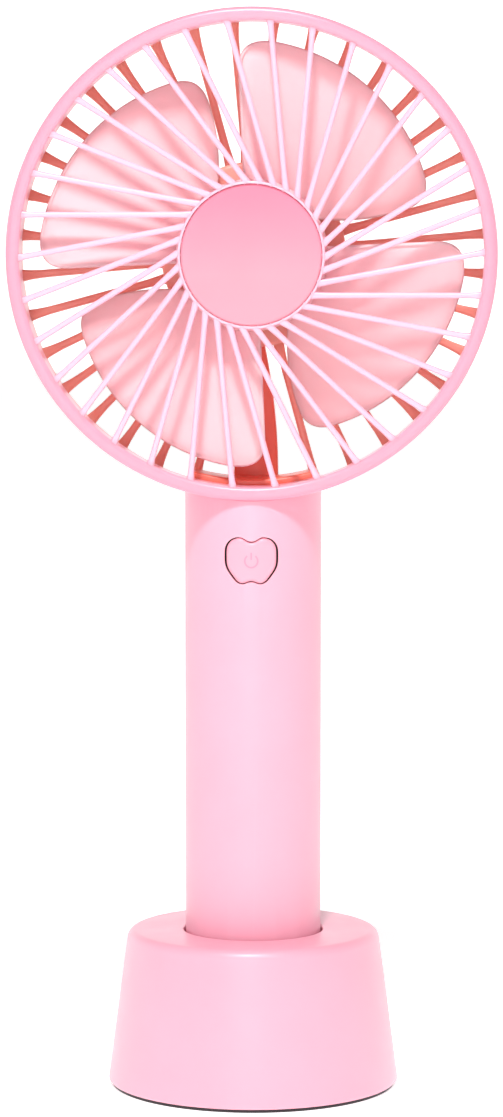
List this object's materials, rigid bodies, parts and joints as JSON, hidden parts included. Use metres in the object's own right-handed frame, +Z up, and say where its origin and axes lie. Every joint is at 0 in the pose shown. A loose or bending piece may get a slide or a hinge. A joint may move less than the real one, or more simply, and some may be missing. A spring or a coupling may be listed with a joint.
{
  "type": "handheld electric fan",
  "caption": "Slim round-headed handheld electric fan with a cylindrical handle, standing in its own conical desk base.",
  "frame": {"origin": "centre of the underside of the base, on the handle's axis", "axes": "+Z up along the handle, -Y out of the front of the grille, +X to the right as seen from the front"},
  "size_m": [0.098, 0.0596, 0.2189],
  "materials": {
    "shell_pink": "fine satin moulded plastic",
    "grille_pink": "satin moulded plastic",
    "housing_pink": "satin moulded plastic, a warmer pink",
    "cap_pink": "soft gloss",
    "blade_pink": "satin translucent plastic",
    "button_pink": "satin",
    "foot_rubber": "matt",
    "screw_steel": "zinc plated",
    "motor_steel": "nickel plated",
    "motor_nylon": "natural nylon",
    "magnet_black": "sintered ferrite",
    "bush_brass": "sintered bronze",
    "coil_copper": "enamelled copper wire",
    "core_steel": "stacked laminations",
    "board_green": "solder mask",
    "part_black": "moulded epoxy",
    "socket_steel": "bright tinned",
    "led_white": "clear epoxy",
    "pipe_clear": "clear acrylic",
    "cell_wrap": "heat-shrunk film",
    "tab_nickel": "nickel strip",
    "pad_foam": "closed-cell foam",
    "lead_red": "soft insulation",
    "lead_black": "soft insulation"
  },
  "bodies": {
    "base": {"base_shell": "shell_pink", "base_socket": "shell_pink", "base_plate": "shell_pink", "base_foot_pad": "foot_rubber", "base_screw_1": "screw_steel", "base_screw_2": "screw_steel", "base_screw_3": "screw_steel"},
    "fan_body": {"rear_housing": "housing_pink", "motor_cover": "shell_pink", "motor_can": "motor_steel", "motor_end_bell": "motor_nylon", "motor_front_bush": "bush_brass", "motor_rear_bush": "bush_brass", "motor_magnets": "magnet_black", "motor_terminal_red": "tab_nickel", "motor_terminal_black": "tab_nickel", "motor_screw_1": "screw_steel", "motor_screw_2": "screw_steel", "handle_front_shell": "shell_pink", "handle_rear_shell": "shell_pink", "handle_end_cap": "shell_pink", "handle_screw_1": "screw_steel", "handle_screw_2": "screw_steel", "handle_screw_3": "screw_steel", "handle_screw_4": "screw_steel", "switch_body": "part_black", "circuit_board": "board_green", "board_screw_1": "screw_steel", "board_screw_2": "screw_steel", "charge_socket": "socket_steel", "charge_led": "led_white", "light_pipe": "pipe_clear", "charge_chip": "part_black", "battery_cell": "cell_wrap", "tab_negative": "tab_nickel", "tab_positive": "tab_nickel", "cell_pad": "pad_foam", "lead_battery_black": "lead_black", "lead_battery_red": "lead_red", "lead_motor_red": "lead_red", "lead_motor_black": "lead_black"},
    "grille": {"front_grille": "grille_pink", "centre_cap": "cap_pink"},
    "rotor": {"impeller": "blade_pink", "motor_shaft": "motor_steel", "armature_core": "core_steel", "armature_windings": "coil_copper", "commutator": "coil_copper"},
    "button": {"power_button": "button_pink", "switch_plunger": "part_black"}
  },
  "joints": [
    {"name": "lift_from_base", "type": "slide", "parent": "base", "child": "fan_body", "axis": [0, 0, 1], "range_m": [0, 0.045]},
    {"name": "grille_twist", "type": "hinge", "parent": "fan_body", "child": "grille", "pos_m": [0, -0.0122, 0.1699], "axis": [0, -1, 0], "range_deg": [0, 15]},
    {"name": "fan_spin", "type": "hinge", "parent": "fan_body", "child": "rotor", "pos_m": [0, -0.005, 0.1699], "axis": [0, -1, 0], "continuous": true},
    {"name": "button_press", "type": "slide", "parent": "fan_body", "child": "button", "axis": [0, 1, 0], "range_m": [0, 0.0005], "stiffness_N_per_m": 800}
  ]
}
